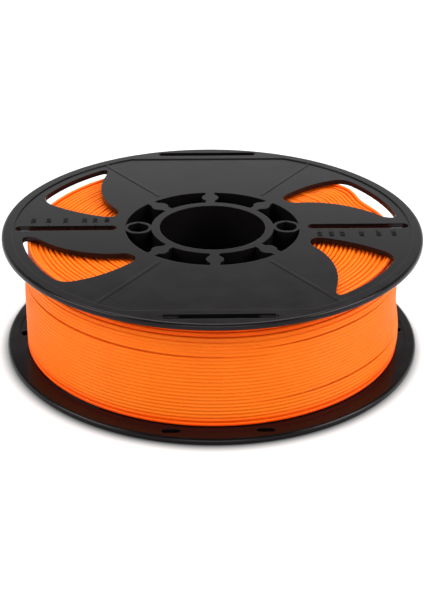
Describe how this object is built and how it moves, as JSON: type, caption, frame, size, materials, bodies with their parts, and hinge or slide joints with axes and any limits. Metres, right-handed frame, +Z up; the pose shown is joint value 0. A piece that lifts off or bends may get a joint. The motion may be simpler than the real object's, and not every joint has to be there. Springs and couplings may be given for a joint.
{
  "type": "filament spool",
  "caption": "Two-flange spool with a plain axle bore, spoked hub, curved windows and gauge slots, wound with printing filament.",
  "frame": {"origin": "centre of the spool's axis on the face that it stands on", "axes": "+Z up along the spool's axis, +X through one gauge slot and its drive hole"},
  "size_m": [0.2, 0.2, 0.06],
  "materials": {
    "spool_plastic": "satin dark grey, lightly moulded texture",
    "filament": "glossy orange"
  },
  "bodies": {
    "root": {"upper_half": "spool_plastic", "lower_half": "spool_plastic", "filament_inner_layers": "filament", "filament_outer_layer": "filament"}
  },
  "joints": []
}
